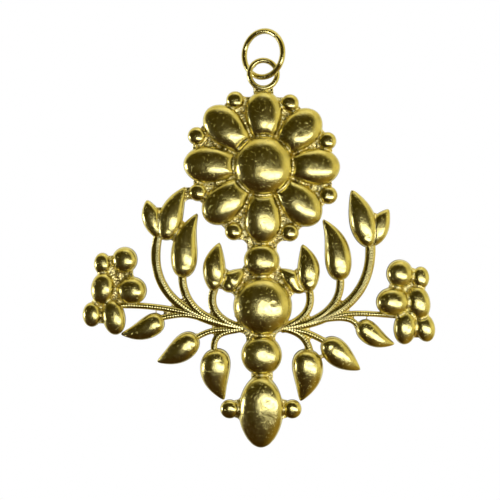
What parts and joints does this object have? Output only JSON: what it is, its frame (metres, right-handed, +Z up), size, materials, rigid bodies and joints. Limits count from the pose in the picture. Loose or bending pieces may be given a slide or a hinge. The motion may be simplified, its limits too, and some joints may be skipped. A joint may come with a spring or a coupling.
{
  "type": "pendant",
  "caption": "Openwork folk pendant: a domed flower over a column of domes and a drop, with leaf sprays and berry clusters, on a bail ring and a free jump ring.",
  "frame": {"origin": "centre of the jump ring, where a chain or cord passes through", "axes": "+Z up as the pendant hangs, +X to the right seen from the front, front facing -Y, flat backs towards +Y"},
  "size_m": [0.0617, 0.0057, 0.0735],
  "materials": {
    "satin_gold": "satin-polished yellow gilt on stamped domes and leaves",
    "polished_gold": "polished yellow gilt on wire rings and beads",
    "soldered_back": "grainy gilt with solder, half matt"
  },
  "bodies": {
    "jump_ring": {"jump_ring": "polished_gold"},
    "ornament": {"bail_ring": "polished_gold", "flower_back_plate": "soldered_back", "flower_centre_dome": "satin_gold", "petal_right": "satin_gold", "petal_upper_right": "satin_gold", "petal_top": "satin_gold", "petal_upper_left": "satin_gold", "petal_left": "satin_gold", "petal_lower_left": "satin_gold", "petal_bottom": "satin_gold", "petal_lower_right": "satin_gold", "flower_bead_1": "polished_gold", "flower_bead_2": "polished_gold", "flower_bead_3": "polished_gold", "flower_bead_4": "polished_gold", "flower_bead_5": "polished_gold", "flower_bead_6": "polished_gold", "flower_bead_7": "polished_gold", "flower_bead_8": "polished_gold", "column_back_plate": "soldered_back", "neck_dome": "satin_gold", "middle_dome": "satin_gold", "lower_dome": "satin_gold", "drop": "satin_gold", "drop_bead_left": "polished_gold", "drop_bead_right": "polished_gold", "stems_left": "satin_gold", "cluster_plate_left": "soldered_back", "leaf_left_outer_large": "satin_gold", "leaf_left_outer_small": "satin_gold", "leaf_left_middle": "satin_gold", "leaf_left_inner_large": "satin_gold", "leaf_left_inner_small": "satin_gold", "leaf_left_lower_outer": "satin_gold", "leaf_left_lower_middle": "satin_gold", "leaf_left_lower_inner": "satin_gold", "berry_left_top_outer": "satin_gold", "berry_left_top_inner": "satin_gold", "berry_left_middle_outer": "satin_gold", "berry_left_middle_inner": "satin_gold", "berry_left_lower_outer": "satin_gold", "berry_left_lower_inner": "satin_gold", "stems_right": "satin_gold", "cluster_plate_right": "soldered_back", "leaf_right_outer_large": "satin_gold", "leaf_right_outer_small": "satin_gold", "leaf_right_middle": "satin_gold", "leaf_right_inner_large": "satin_gold", "leaf_right_inner_small": "satin_gold", "leaf_right_lower_outer": "satin_gold", "leaf_right_lower_middle": "satin_gold", "leaf_right_lower_inner": "satin_gold", "berry_right_top_outer": "satin_gold", "berry_right_top_inner": "satin_gold", "berry_right_middle_outer": "satin_gold", "berry_right_middle_inner": "satin_gold", "berry_right_lower_outer": "satin_gold", "berry_right_lower_inner": "satin_gold"}
  },
  "joints": [
    {"name": "ring_swivel", "type": "hinge", "parent": "jump_ring", "child": "ornament", "pos_m": [0, 0, 0], "axis": [0, 0, 1], "range_deg": [-8, 120]}
  ]
}
